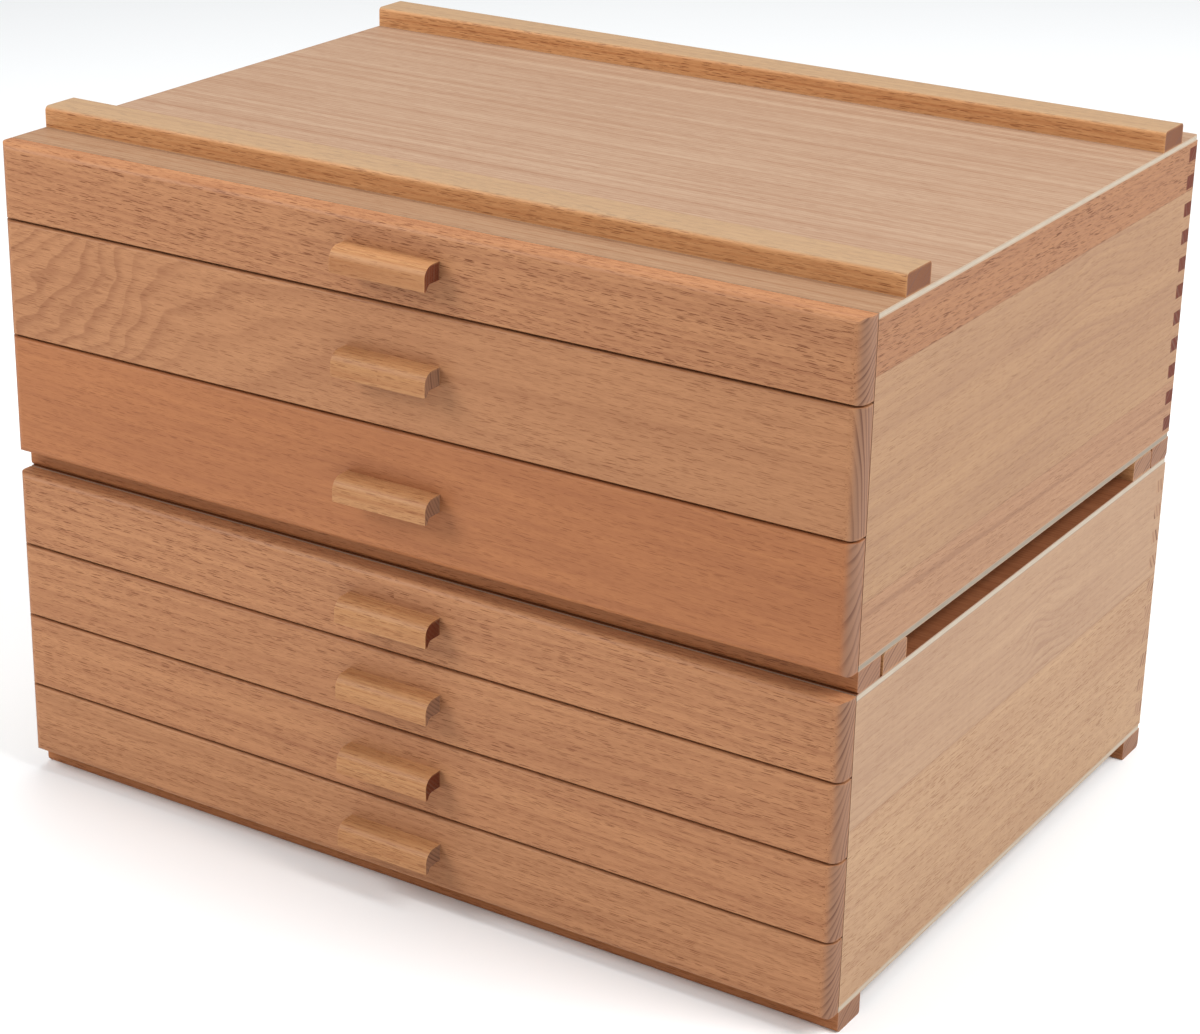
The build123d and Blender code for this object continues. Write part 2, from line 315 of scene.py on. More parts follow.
class BeechTexture:
    """The node group that grows beech wood: rings, bands, dashes, fibres and end grain.

    The names in capitals that end in S and hold three numbers say how many features a kind of
    noise has to a metre: along the grain, and the two ways across it.
    """

    NAME = "Beech"
    VECTORS = ("Point", "Pith", "Figure at", "Figure size")
    NUMBERS = ("End", "Seed", "Ring", "Ring depth", "Wander", "Band", "Cloud", "Fleck",
               "Fleck length", "Fleck width", "Figure", "Ripple", "Stripe at", "Stripe width",
               "Stripe depth")
    COLOURS = ("Light", "Dark", "Fleck tone", "End tone", "End line")
    RESULTS = {"Color": "NodeSocketColor", "Roughness": "NodeSocketFloat",
               "Height": "NodeSocketFloat"}

    FIBRES = (70.0, 1300.0, 1300.0)
    STREAKS = (7.0, 260.0, 260.0)
    CLOUDS = (9.0, 32.0, 32.0)
    RIPPLES = (340.0, 30.0, 30.0)
    STRAYS = (5.0, 24.0, 24.0)
    WOBBLES = (14.0, 34.0, 34.0)
    PATCHES = (16.0, 70.0, 70.0)
    PORES = (60.0, 2600.0, 2600.0)
    FINE = (3.0, 0.6)  # detail and roughness of the finer noises

    SEED_STEP = (0.37, 0.71, 0.53)  # metres through the noise for each unit of a seed
    SEED_RINGS = 7.3  # rings skipped for each unit of a seed
    GROUND_DEPTH = 0.3  # how far plain wood lies from the light tone to the dark one
    STREAK_DEPTH = 0.9
    FIBRE_DEPTH = 1.0
    STRIPE_BREAK = (0.3, 0.6, 0.35, 1.0)  # streaks that thin a stripe out, and what is left of it
    LATE_WOOD = (0.35, 0.9, 1.0)  # where in a ring late wood starts, is darkest, and ends
    LATE_CHANCE = (0.8, 0.4)  # each ring's late wood: share left to chance, and the least
    FIGURE_WOBBLE = 0.065  # metres that a figure's outline strays
    FIGURE_CONTRAST = 1.8
    BAND_RATE = 0.42  # changes of tone for each ring
    PATCH_RANGE = (0.3, 0.62, 0.7, 1.0)  # noise from and to, strength of the dashes from and to
    DASH_LAYERS = ((1.0, 0.44, 0.50), (0.6, 0.47, 0.42))  # size, half width, share left out
    DASH_STEP = (0.0, 0.013, 0.029)  # metres between the layers, so that they don't line up
    DASH_CORE = 0.32  # where a dash begins to fade, in cells
    DASH_FADE = 0.2  # how softly dashes come and go
    DASH_SLIP = 9.0  # cells that a row may slip along the grain
    DASH_FINE = 0.5  # strength of the finer layer
    PORE_SHARE = (0.35, -0.08)  # light tone on the end grain: rise with the pores, and start
    BLOTCHES = (0.35, 0.75, 0.0, 0.4)  # noise from and to, share of plain end tone from and to
    END_LINE = (0.4, 0.5)  # rings on the end grain: share left to chance, and the least
    ROUGHNESS = {"plain": 0.34, "fibre": 0.16, "end": 0.14, "dash": 0.06}
    HEIGHT = {"fibre": 0.45, "dash": -0.5, "late": -0.15}

    def __init__(self) -> None:
        """Builds the group once."""
        self.tree = bpy.data.node_groups.new(self.NAME, "ShaderNodeTree")
        kinds = ((self.VECTORS, "NodeSocketVector"), (self.NUMBERS, "NodeSocketFloat"),
                 (self.COLOURS, "NodeSocketColor"))
        for names, kind in kinds:
            for name in names:
                self.tree.interface.new_socket(name, in_out="INPUT", socket_type=kind)
        for name, kind in self.RESULTS.items():
            self.tree.interface.new_socket(name, in_out="OUTPUT", socket_type=kind)
        self.graph = Graph(self.tree)
        self.given = self.tree.nodes.new("NodeGroupInput").outputs
        self._grow()

    def _grow(self) -> None:
        """Joins rings, dashes and fibres into colour, roughness and height."""
        g, given = self.graph, self.given
        point = given["Point"]
        shifted = g.vector("ADD", point, g.scaled(self.SEED_STEP, given["Seed"]))
        stray = g.stretch(g.drift(g.stretch(shifted, self.STRAYS)), (0.0, 1.0, 1.0))
        bent = g.vector("ADD", point, g.scaled(stray, given["Wander"]))
        late, band, chance = self._rings(point, bent, shifted)
        dashes = self._dashes(bent, shifted)
        fibre = g.noise(g.stretch(shifted, self.FIBRES), *self.FINE)
        cloud = g.noise(g.stretch(shifted, self.CLOUDS))
        depth = self._depth(bent, shifted, (late, band, fibre, cloud))
        flank = g.blend(depth, given["Light"], given["Dark"])
        flank = g.blend(dashes, flank, given["Fleck tone"])
        end = self._end_grain(bent, late, chance, cloud)
        parts = self.ROUGHNESS
        rough = g.math("MULTIPLY_ADD", fibre, parts["fibre"], parts["plain"])
        rough = g.math("MULTIPLY_ADD", given["End"], parts["end"], rough)
        rough = g.math("MULTIPLY_ADD", dashes, parts["dash"], rough, clamp=True)
        height = g.math("MULTIPLY", fibre, self.HEIGHT["fibre"])
        height = g.math("MULTIPLY_ADD", dashes, self.HEIGHT["dash"], height)
        height = g.math("MULTIPLY_ADD", late, self.HEIGHT["late"], height)
        out = self.tree.nodes.new("NodeGroupOutput")
        results = (g.blend(given["End"], flank, end), rough, height)
        for name, value in zip(self.RESULTS, results):
            g.feed(out.inputs[name], value)

    def _rings(self, point: Socket, bent: Socket, shifted: Socket) -> tuple[Socket, ...]:
        """Counts the growth rings outwards from the pith.

        Args:
            point: the place in board axes.
            bent: the place, moved sideways so that the rings wander.
            shifted: the place, moved by the board's seed.

        Returns:
            Late wood, the tone of its group of rings, and the chance tone of each ring.
        """
        g, given = self.graph, self.given
        across = g.stretch(g.vector("SUBTRACT", bent, given["Pith"]), (0.0, 1.0, 1.0))
        radius = g.math("DIVIDE", g.vector("LENGTH", across), given["Ring"])
        wobble = g.scaled(g.drift(g.stretch(shifted, self.WOBBLES)), self.FIGURE_WOBBLE)
        place = g.vector("SUBTRACT", g.vector("ADD", point, wobble), given["Figure at"])
        reach = g.vector("LENGTH", g.vector("DIVIDE", place, given["Figure size"]))
        squared = g.math("MULTIPLY", reach, reach)
        hump = g.math("POWER", math.e, g.math("MULTIPLY", squared, -1.0))
        count = g.math("MULTIPLY_ADD", hump, given["Figure"], radius)
        count = g.math("ADD", count, g.math("MULTIPLY", given["Seed"], self.SEED_RINGS))
        phase = g.math("FRACT", count)
        chance = g.add("ShaderNodeTexWhiteNoise", {"noise_dimensions": "1D"},
                       {"W": g.math("FLOOR", count)}).outputs["Value"]
        start, peak, stop = self.LATE_WOOD
        late = g.math("MULTIPLY", g.ramp(phase, start, peak), g.ramp(phase, peak, stop, 1.0, 0.0))
        late = g.math("MULTIPLY", late, g.math("MULTIPLY_ADD", chance, *self.LATE_CHANCE))
        late = g.math("MULTIPLY", late, g.math("MULTIPLY_ADD", hump, self.FIGURE_CONTRAST, 1.0))
        band = g.noise(g.math("MULTIPLY", count, self.BAND_RATE), 1.0, axes="1D")
        return late, band, chance

    def _dashes(self, bent: Socket, shifted: Socket) -> Socket:
        """Scatters the short dark dashes, in a coarse and a fine layer.

        Each row of cells slips along the grain by its own amount, so that no columns show.

        Args:
            bent: the place, moved sideways so that the rings wander.
            shifted: the place, moved by the board's seed.

        Returns:
            The mask of the dashes.
        """
        g, given = self.graph, self.given
        layers = []
        for share, reach, drop in self.DASH_LAYERS:
            length = g.math("DIVIDE", 1.0 / share, given["Fleck length"])
            width = g.math("DIVIDE", 1.0 / share, given["Fleck width"])
            moved = g.vector("ADD", bent, tuple(step * share for step in self.DASH_STEP))
            spot = g.stretch(moved, g.join(length, width, width))
            row = g.vector("FLOOR", g.stretch(spot, (0.0, 1.0, 1.0)))
            slip = g.add("ShaderNodeTexWhiteNoise", inputs={"Vector": row}).outputs["Value"]
            slip = g.math("MULTIPLY", slip, self.DASH_SLIP)
            far, chance = g.cells(g.vector("ADD", spot, g.join(slip, 0.0, 0.0)))
            keep = g.ramp(g.split(chance)[0], drop, drop + self.DASH_FADE)
            layers.append(g.math("MULTIPLY", g.ramp(far, self.DASH_CORE, reach, 1.0, 0.0), keep))
        both = g.math("MAXIMUM", layers[0], g.math("MULTIPLY", layers[1], self.DASH_FINE))
        patch = g.ramp(g.noise(g.stretch(shifted, self.PATCHES)), *self.PATCH_RANGE)
        both = g.math("MULTIPLY", both, g.math("MULTIPLY", patch, given["Fleck"]))
        return g.math("MULTIPLY", both, g.math("SUBTRACT", 1.0, given["End"]), clamp=True)

    def _depth(self, bent: Socket, shifted: Socket, found: tuple[Socket, ...]) -> Socket:
        """Adds up all that turns the ground from the light tone to the dark one.

        Args:
            bent: the place, moved sideways so that the rings wander.
            shifted: the place, moved by the board's seed.
            found: late wood, tone of the group of rings, fibres and clouds.

        Returns:
            Nought for the light tone, one for the dark tone.
        """
        g, given = self.graph, self.given
        late, band, fibre, cloud = found
        streak = g.noise(g.stretch(shifted, self.STREAKS), *self.FINE)
        ripple = g.noise(g.stretch(shifted, self.RIPPLES))
        off = g.gap(g.split(bent)[2], given["Stripe at"])
        stripe = g.math("MULTIPLY", g.ramp(off, 0.0, given["Stripe width"], 1.0, 0.0),
                        g.ramp(streak, *self.STRIPE_BREAK))
        depth = g.math("MULTIPLY", g.centred(cloud), given["Cloud"])
        for part, share in (
            (g.centred(band), given["Band"]), (late, given["Ring depth"]),
            (g.centred(streak), self.STREAK_DEPTH), (g.centred(ripple), given["Ripple"]),
            (g.centred(fibre), self.FIBRE_DEPTH), (stripe, given["Stripe depth"]),
        ):
            depth = g.math("MULTIPLY_ADD", part, share, depth)
        return g.math("ADD", depth, self.GROUND_DEPTH, clamp=True)

    def _end_grain(self, bent: Socket, late: Socket, chance: Socket, cloud: Socket) -> Socket:
        """Colours the end grain: fine rings, pores and a blotchy ground.

        Args:
            bent: the place, moved sideways so that the rings wander.
            late: late wood.
            chance: the chance tone of each ring.
            cloud: slow changes of tone.

        Returns:
            The colour.
        """
        g, given = self.graph, self.given
        pores = g.noise(g.stretch(bent, self.PORES), 2.0, 0.6)
        share = g.math("MULTIPLY_ADD", pores, *self.PORE_SHARE, clamp=True)
        ground = g.blend(share, given["End tone"], given["Light"])
        ground = g.blend(g.ramp(cloud, *self.BLOTCHES), ground, given["End tone"])
        line = g.math("MULTIPLY", late, g.math("MULTIPLY_ADD", chance, *self.END_LINE), clamp=True)
        return g.blend(line, ground, given["End line"])

    def use(self, graph: Graph, point: Socket, end: Value, board: Board) -> bpy.types.Node:
        """Lays the texture for one board.

        Args:
            graph: the material's nodes.
            point: place in board axes, along the grain first.
            end: how much of the end grain shows.
            board: tone and cut.

        Returns:
            The group node.
        """
        cut, tone = board.cut, board.tone
        if cut.slope:
            x, y, z = graph.split(point)
            point = graph.join(x, y, graph.math("MULTIPLY_ADD", x, cut.slope, z))
        stripe_at, stripe_width, stripe_depth = cut.stripe
        return graph.add("ShaderNodeGroup", {"node_tree": self.tree}, {
            "Point": point, "End": end, "Seed": cut.seed,
            "Pith": (0.0, cut.pith[0] * MM, cut.pith[1] * MM), "Ring": cut.ring * MM,
            "Ring depth": cut.ring_depth, "Wander": cut.wander * MM, "Band": cut.band,
            "Cloud": cut.cloud, "Fleck": cut.fleck, "Fleck length": cut.fleck_length * MM,
            "Fleck width": cut.fleck_width * MM, "Figure": cut.figure,
            "Figure at": tuple(value * MM for value in cut.figure_at),
            "Figure size": tuple(value * MM for value in cut.figure_size),
            "Ripple": cut.ripple, "Stripe at": stripe_at * MM,
            "Stripe width": stripe_width * MM, "Stripe depth": stripe_depth,
            "Light": tone.light, "Dark": tone.dark, "Fleck tone": tone.fleck,
            "End tone": tone.end, "End line": tone.end_line,
        })


@dataclass(frozen=True)
class Lacquer:
    """The thin satin lacquer on every piece.

    Attributes:
        ior: how strongly it bends light.
        specular: shine of the wood under the lacquer.
        coat: shine of the lacquer itself.
        coat_roughness: how soft that shine is.
        relief: how much of the wood's relief shows.
        relief_height: height of that relief, in millimetres.
    """

    ior: float = 1.48
    specular: float = 0.0
    coat: float = 0.25
    coat_roughness: float = 0.38
    relief: float = 0.25
    relief_height: float = 0.12

    def cover(self, graph: Graph, material: bpy.types.Material, colour: Socket, rough: Socket,
              height: Socket) -> None:
        """Joins colour, roughness and height to the material's surface.

        Args:
            graph: the material's nodes.
            material: the material.
            colour: its colour.
            rough: its roughness.
            height: relief of the surface, nought to one.
        """
        bump = graph.add("ShaderNodeBump", inputs={
            "Strength": self.relief, "Distance": self.relief_height * MM, "Height": height,
        })
        shader = material.node_tree.nodes["Principled BSDF"]
        values = {
            "IOR": self.ior, "Specular IOR Level": self.specular, "Coat Weight": self.coat,
            "Coat Roughness": self.coat_roughness, "Base Color": colour, "Roughness": rough,
            "Normal": bump.outputs["Normal"],
        }
        for name, value in values.items():
            graph.feed(shader.inputs[name], value)


class Wood:
    """Makes the materials: solid boards, glued panels and plywood."""

    END_TURN = (0.3, 0.88)  # how squarely a face must cross the grain to show end grain
    EDGE_HIGHLIGHT_SCALE = (90.0, 90.0, 90.0)  # features to a metre
    EDGE_HIGHLIGHT_REACH = (1.6 * MM, 0.2 * MM)  # painted highlight on the edges: share left to chance, and the least
    BOARD_EDGE_HIGHLIGHT = 0.3
    PANEL_EDGE_HIGHLIGHT = 0.25
    SHEEN_FACING = (0.4, 0.95, 0.0, 0.6)  # how far a face looks up, and how much painted sheen it gets
    SEAM_WIDTH = (0.05 * MM, 0.3 * MM)
    SEAM_DEPTH = 0.3
    PLY_EDGE = (0.75, 0.95, 1.0, 0.0)  # how far a face looks up, and how much core it shows
    PLY_SCALE = (120.0, 120.0, 2400.0)  # features to a metre
    PLY_STREAKS = (0.35, 0.7, 0.0, 0.5)  # noise from and to, share of the shaded core
    PLY_SHADE = 0.72
    GLUE_LINE = (0.02 * MM, 0.14 * MM, 0.45, 0.0)  # half width from and to, strength
    VENEER_EDGE = (0.7, 0.55)  # where the veneer gives way to the core, and its strength
    # painted shade and golden bounce light from the front rail, on the top veneer ahead of it
    RAIL_BOUNCE_BLUR = 1.0 * MM
    RAIL_BOUNCE_TINT = (0.885, 0.81, 0.72)

    def __init__(self) -> None:
        """Grows the beech texture and mixes the lacquer."""
        self.texture = BeechTexture()
        self.lacquer = Lacquer()

    def _new(self, name: str) -> tuple[bpy.types.Material, Graph]:
        """Starts a material.

        Args:
            name: its name.

        Returns:
            The material and its nodes.
        """
        material = bpy.data.materials.new(name)
        material.use_nodes = True
        return material, Graph(material.node_tree)

    def _place(self, graph: Graph, grain: Grain) -> tuple[Socket, Socket, Socket]:
        """Reads where a point lies and how much end grain faces it.

        Args:
            graph: the material's nodes.
            grain: direction of the fibres.

        Returns:
            The point in the frame's axes, the point in board axes, and the end grain's share.
        """
        where = graph.add("ShaderNodeTexCoord")
        point = where.outputs["Object"]
        x, y, z = graph.split(point)
        facing = dict(zip(Grain, graph.split(where.outputs["Normal"])))[grain]
        orders = {Grain.ACROSS: (x, y, z), Grain.DEPTH: (y, x, z)}
        along = graph.join(*orders[grain])
        return point, along, graph.ramp(graph.math("ABSOLUTE", facing), *self.END_TURN)

    def _upward(self, graph: Graph) -> Socket:
        """Returns how far a face looks up: one for level, less than nought from below."""
        return graph.split(graph.add("ShaderNodeTexCoord").outputs["Normal"])[2]

    def _edge_highlight(self, graph: Graph, point: Socket, box: Box) -> Socket:
        """Finds the edges of a piece, where a paler tone is painted on as a highlight.

        Args:
            graph: the material's nodes.
            point: the point in the frame's axes.
            box: lowest and highest corner of the piece.

        Returns:
            One on an edge, nought a millimetre or two away.
        """
        middle = (box[0] + box[1]) / 2
        half = (box[1] - box[0]) / 2
        off = graph.vector("ABSOLUTE", graph.vector("SUBTRACT", point, tuple(middle)))
        x, y, z = graph.split(graph.vector("SUBTRACT", tuple(half), off))
        least = graph.math("MINIMUM", graph.math("MINIMUM", x, y), z)
        most = graph.math("MAXIMUM", graph.math("MAXIMUM", x, y), z)
        total = graph.math("ADD", graph.math("ADD", x, y), z)
        second = graph.math("SUBTRACT", graph.math("SUBTRACT", total, least), most)
        highlight_noise = graph.noise(graph.stretch(point, self.EDGE_HIGHLIGHT_SCALE), *BeechTexture.FINE)
        reach = graph.math("MULTIPLY_ADD", highlight_noise, *self.EDGE_HIGHLIGHT_REACH)
        return graph.ramp(second, 0.0, reach, 1.0, 0.0)

    def board(self, name: str, box: Box, grain: Grain, board: Board,
              sheen_tone: Colour | None = None) -> bpy.types.Material:
        """Makes the material of a piece sawn from one board.

        Args:
            name: the material's name.
            box: lowest and highest corner of the piece.
            grain: direction of the fibres.
            board: tone and cut.
            sheen_tone: faces that look up are blended towards this tone, a painted sheen.

        Returns:
            The material.
        """
        material, graph = self._new(name)
        point, along, end = self._place(graph, grain)
        wood = self.texture.use(graph, along, end, board)
        # painted highlight: the edges are blended towards the light tone
        arris = graph.math("MULTIPLY", self._edge_highlight(graph, point, box), self.BOARD_EDGE_HIGHLIGHT)
        colour = graph.blend(arris, wood.outputs["Color"], board.tone.light)
        # painted sheen: faces that look up turn towards a paler, greyer tone
        if sheen_tone is not None:
            top_sheen = graph.ramp(self._upward(graph), *self.SHEEN_FACING)
            colour = graph.blend(top_sheen, colour, sheen_tone)
        self.lacquer.cover(graph, material, colour, wood.outputs["Roughness"],
                           wood.outputs["Height"])
        return material

    def panel(self, name: str, box: Box, grain: Grain, boards: Boards) -> bpy.types.Material:
        """Makes the material of a panel glued up from two or more boards, one above another.

        Args:
            name: the material's name.
            box: lowest and highest corner of the panel.
            grain: direction of the fibres.
            boards: each board and the height of its upper edge, lowest first, in millimetres.

        Returns:
            The material.
        """
        material, graph = self._new(name)
        point, along, end = self._place(graph, grain)
        height_here = graph.split(point)[2]
        parts, seam, joint = [], None, 0.0
        for upper, board in boards:
            wood = self.texture.use(graph, along, end, board)
            found = [wood.outputs[result] for result in BeechTexture.RESULTS]
            if parts:
                mask = graph.math("GREATER_THAN", height_here, joint * MM)
                parts = [graph.blend(mask, old, new, kind)
                         for old, new, kind in zip(parts, found, ("RGBA", "FLOAT", "FLOAT"))]
                line = graph.ramp(graph.gap(height_here, joint * MM), *self.SEAM_WIDTH, 1.0, 0.0)
                seam = line if seam is None else graph.math("MAXIMUM", seam, line)
            else:
                parts = found
            joint = upper
        tone = boards[0][1].tone
        colour, rough, height = parts
        colour = graph.blend(graph.math("MULTIPLY", seam, self.SEAM_DEPTH), colour, tone.end_line)
        # painted highlight: the edges are blended towards the light tone
        arris = graph.math("MULTIPLY", self._edge_highlight(graph, point, box), self.PANEL_EDGE_HIGHLIGHT)
        colour = graph.blend(arris, colour, tone.light)
        self.lacquer.cover(graph, material, colour, rough, height)
        return material

    def plywood(self, name: str, box: Box, face: Board, core: Colour, veneer: float,
                rail_bounce_line: float | None = None) -> bpy.types.Material:
        """Makes the material of a plywood sheet: beech veneer outside, pale core at the edges.

        Args:
            name: the material's name.
            box: lowest and highest corner of the sheet.
            face: tone and cut of the face veneer.
            core: colour of the core.
            veneer: thickness of a face veneer, in millimetres.
            rail_bounce_line: ahead of this line the veneer is tinted darker and more golden,
                painted shade and bounce light from the front rail; in metres.

        Returns:
            The material.
        """
        material, graph = self._new(name)
        point, along, _ = self._place(graph, Grain.ACROSS)
        wood = self.texture.use(graph, along, 0.0, face)
        middle = (box[0].z + box[1].z) / 2
        depth = (box[1].z - box[0].z) / 2
        inside = graph.math("SUBTRACT", depth, graph.gap(graph.split(point)[2], middle))
        streaks = graph.noise(graph.stretch(point, self.PLY_SCALE), *BeechTexture.FINE)
        shaded = tuple(part * self.PLY_SHADE for part in core)
        pale = graph.blend(graph.ramp(streaks, *self.PLY_STREAKS), core, shaded)
        glue = graph.ramp(graph.gap(inside, veneer * MM), *self.GLUE_LINE)
        pale = graph.blend(glue, pale, face.tone.dark)
        start, strength = self.VENEER_EDGE
        outside = graph.ramp(inside, veneer * start * MM, veneer * MM, strength, 0.0)
        pale = graph.blend(outside, pale, face.tone.light)
        skin = wood.outputs["Color"]
        # painted shade and golden bounce light from the front rail, ahead of its front face
        if rail_bounce_line is not None:
            ahead = graph.ramp(graph.split(point)[1], rail_bounce_line - self.RAIL_BOUNCE_BLUR,
                               rail_bounce_line + self.RAIL_BOUNCE_BLUR, 1.0, 0.0)
            skin = graph.blend(ahead, skin, self.RAIL_BOUNCE_TINT, mode="MULTIPLY")
        edge = graph.ramp(graph.math("ABSOLUTE", self._upward(graph)), *self.PLY_EDGE)
        self.lacquer.cover(graph, material, graph.blend(edge, skin, pale),
                           wood.outputs["Roughness"], wood.outputs["Height"])
        return material


@dataclass
class Piece:
    """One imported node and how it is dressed.

    Attributes:
        node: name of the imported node.
        solid: its object.
        arris: how far its edges are eased, in millimetres. Nought leaves them sharp.
    """

    node: str
    solid: bpy.types.Object
    arris: float

    FLAT_ANGLE = math.radians(0.5)  # faces closer than this count as one
    EDGE_ANGLE = math.radians(35)  # edges sharper than this are eased
    SEGMENTS = 3

    def dress(self, material: bpy.types.Material) -> None:
        """Gives the solid one material and softens its edges.

        Args:
            material: its finish.
        """
        mesh = self.solid.data
        mesh.materials.clear()
        mesh.materials.append(material)
        for polygon in mesh.polygons:
            polygon.material_index = 0
        if self.arris > 0:
            flat = self.solid.modifiers.new("plain faces", "DECIMATE")
            flat.decimate_type = "DISSOLVE"
            flat.angle_limit = self.FLAT_ANGLE
            ease = self.solid.modifiers.new("eased edges", "BEVEL")
            ease.width = self.arris * MM
            ease.segments = self.SEGMENTS
            ease.limit_method = "ANGLE"
            ease.angle_limit = self.EDGE_ANGLE
            ease.use_clamp_overlap = True
            ease.harden_normals = False
        log.info("dressed %s", self.node)


@dataclass
class Chest:
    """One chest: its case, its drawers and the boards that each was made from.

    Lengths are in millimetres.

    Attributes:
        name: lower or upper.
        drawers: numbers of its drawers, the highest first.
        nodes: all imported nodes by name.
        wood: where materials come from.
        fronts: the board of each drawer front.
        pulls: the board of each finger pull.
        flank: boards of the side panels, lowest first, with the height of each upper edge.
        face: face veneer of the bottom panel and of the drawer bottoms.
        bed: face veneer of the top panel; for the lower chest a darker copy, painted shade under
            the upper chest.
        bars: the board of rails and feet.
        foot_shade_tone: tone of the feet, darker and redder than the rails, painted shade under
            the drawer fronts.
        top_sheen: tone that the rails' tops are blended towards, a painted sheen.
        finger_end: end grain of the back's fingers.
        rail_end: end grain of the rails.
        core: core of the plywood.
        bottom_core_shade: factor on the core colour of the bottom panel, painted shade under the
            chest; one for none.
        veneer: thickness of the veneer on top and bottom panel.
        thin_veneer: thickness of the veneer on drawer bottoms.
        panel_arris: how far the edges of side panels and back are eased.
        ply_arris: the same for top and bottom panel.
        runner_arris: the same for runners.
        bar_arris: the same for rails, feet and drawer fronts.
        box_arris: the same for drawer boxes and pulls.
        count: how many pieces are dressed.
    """

    name: str
    drawers: tuple[int, ...]
    nodes: dict[str, bpy.types.Object]
    wood: Wood
    fronts: dict[int, Board]
    pulls: dict[int, Board]
    flank: Boards
    face: Board
    bed: Board
    bars: Board
    foot_shade_tone: Tone
    top_sheen: Colour
    finger_end: Colour
    rail_end: Colour
    core: Colour = (0.462, 0.392, 0.307)
    bottom_core_shade: float = 1.0
    veneer: float = 0.45
    thin_veneer: float = 0.4
    panel_arris: float = 0.25
    ply_arris: float = 0.2
    runner_arris: float = 0.3
    bar_arris: float = 0.5
    box_arris: float = 0.4
    count: int = 0

    SIDE_STEPS = {Side.LEFT: 11.0, Side.RIGHT: 0.0}  # seeds that set one board apart from the next
    RUNNER_SEEDS = {Side.LEFT: 9.0, Side.RIGHT: 10.0}
    PLY_STEPS = {"bottom": 6.0, "top": 3.0}
    BAR_STEPS = {"front": 25.5, "rear": 23.8}
    BACK_STEP = 23.0
    BOX_SEED = 30.0
    BOTTOM_SEED = 40.0
    BACK_PITH = 260.0  # how far behind the origin the back's boards had their pith
    BAR_PITH = (30.0, -45.0)  # the pith of a rail or foot, from its middle and its underside
    BOX_CUT = Cut(fleck=0.5, pith=(60.0, -40.0))

    def _dress(self, node: str, material: bpy.types.Material, arris: float) -> None:
        """Dresses one node and counts it."""
        Piece(node, self.nodes[node], arris).dress(material)
        self.count += 1

    def _board(self, node: str, grain: Grain, board: Board, arris: float,
               sheen_tone: Colour | None = None) -> None:
        """Dresses one node as a single board."""
        self._dress(node, self.wood.board(node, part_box(node), grain, board, sheen_tone), arris)

    def _panel(self, node: str, grain: Grain, boards: Boards) -> None:
        """Dresses one node as a panel of boards."""
        self._dress(node, self.wood.panel(node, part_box(node), grain, boards), self.panel_arris)

    def build_walls(self) -> None:
        """Dresses side panels, runners and back."""
        for side in Side:
            step = self.SIDE_STEPS[side]
            boards = tuple((upper, reseed(board, step)) for upper, board in self.flank)
            self._panel(f"{self.name}_side_{side.value}", Grain.DEPTH, boards)
            runner = Board(cut=Cut(seed=self.RUNNER_SEEDS[side]))
            self._board(f"{self.name}_runners_{side.value}", Grain.DEPTH, runner,
                        self.runner_arris)
        boards = []
        for upper, board in self.flank:
            board = replace(board, tone=replace(board.tone, end=self.finger_end))
            pith = (self.BACK_PITH, board.cut.pith[1])
            boards.append((upper, reseed(board, self.BACK_STEP, pith=pith, figure=0.0)))
        self._panel(f"{self.name}_back", Grain.ACROSS, tuple(boards))

    def build_plywood(self) -> None:
        """Dresses the bottom and the top panel."""
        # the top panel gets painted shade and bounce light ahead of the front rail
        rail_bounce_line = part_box(f"{self.name}_rail_front")[0].y
        for level, veneer, shade, line in (("bottom", self.face, self.bottom_core_shade, None),
                                           ("top", self.bed, 1.0, rail_bounce_line)):
            node = f"{self.name}_{level}_panel"
            face = reseed(veneer, self.PLY_STEPS[level])
            core = tuple(part * shade for part in self.core)
            material = self.wood.plywood(node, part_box(node), face, core, self.veneer, line)
            self._dress(node, material, self.ply_arris)

    def build_bars(self) -> None:
        """Dresses rails and feet."""
        # the feet get painted shade through their own darker tone
        finishes = (("rail", replace(self.bars.tone, end=self.rail_end), self.top_sheen),
                    ("foot", self.foot_shade_tone, None))
        for part, tone, sheen_tone in finishes:
            for place, step in self.BAR_STEPS.items():
                node = f"{self.name}_{part}_{place}"
                low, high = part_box(node)
                pith = ((low.y + high.y) / 2 / MM + self.BAR_PITH[0],
                        low.z / MM + self.BAR_PITH[1])
                board = reseed(replace(self.bars, tone=tone), step, pith=pith)
                self._board(node, Grain.ACROSS, board, self.bar_arris, sheen_tone)

    def build_drawers(self) -> None:
        """Dresses fronts, pulls and drawer boxes."""
        for number in self.drawers:
            drawer = f"drawer_{number}"
            inner = Board(cut=replace(self.BOX_CUT, seed=self.BOX_SEED + number))
            for part, grain, board, arris in (
                ("front", Grain.ACROSS, self.fronts[number], self.bar_arris),
                ("pull", Grain.ACROSS, self.pulls[number], self.box_arris),
                ("sides", Grain.DEPTH, inner, self.box_arris),
                ("back", Grain.ACROSS, inner, self.box_arris),
            ):
                self._board(f"{drawer}_{part}", grain, board, arris)
            node = f"{drawer}_bottom"
            face = replace(self.face, cut=replace(self.face.cut, seed=self.BOTTOM_SEED + number))
            material = self.wood.plywood(node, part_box(node), face, self.core, self.thin_veneer)
            self._dress(node, material, 0.0)

    def build(self) -> None:
        """Dresses the whole chest."""
        self.build_walls()
        self.build_plywood()
        self.build_bars()
        self.build_drawers()
        log.info("%s chest: %d pieces", self.name, self.count)


